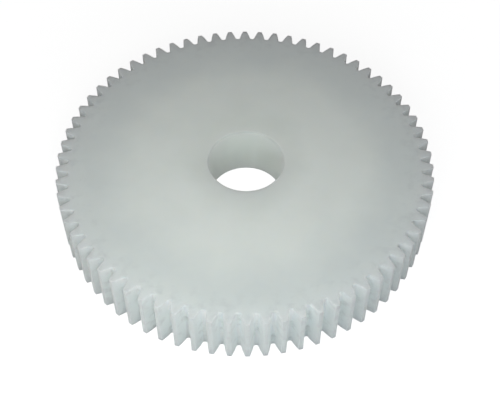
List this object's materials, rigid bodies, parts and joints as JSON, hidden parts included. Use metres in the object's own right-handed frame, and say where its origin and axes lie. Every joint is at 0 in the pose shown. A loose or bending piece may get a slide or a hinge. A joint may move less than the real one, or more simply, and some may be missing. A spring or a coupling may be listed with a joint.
{
  "type": "spur gear",
  "caption": "Solid-disc spur gear in natural nylon, with straight involute teeth round the rim and a plain round bore through the middle.",
  "frame": {"origin": "on the gear's axis, in the middle of the lower face, which the gear lies on", "axes": "+Z along the bore, from the lower face to the upper face; +X through the middle of a tooth space"},
  "size_m": [0.09, 0.09, 0.014],
  "materials": {
    "nylon": "satin, milky and faintly translucent"
  },
  "bodies": {
    "root": {"spur_gear": "nylon"}
  },
  "joints": []
}
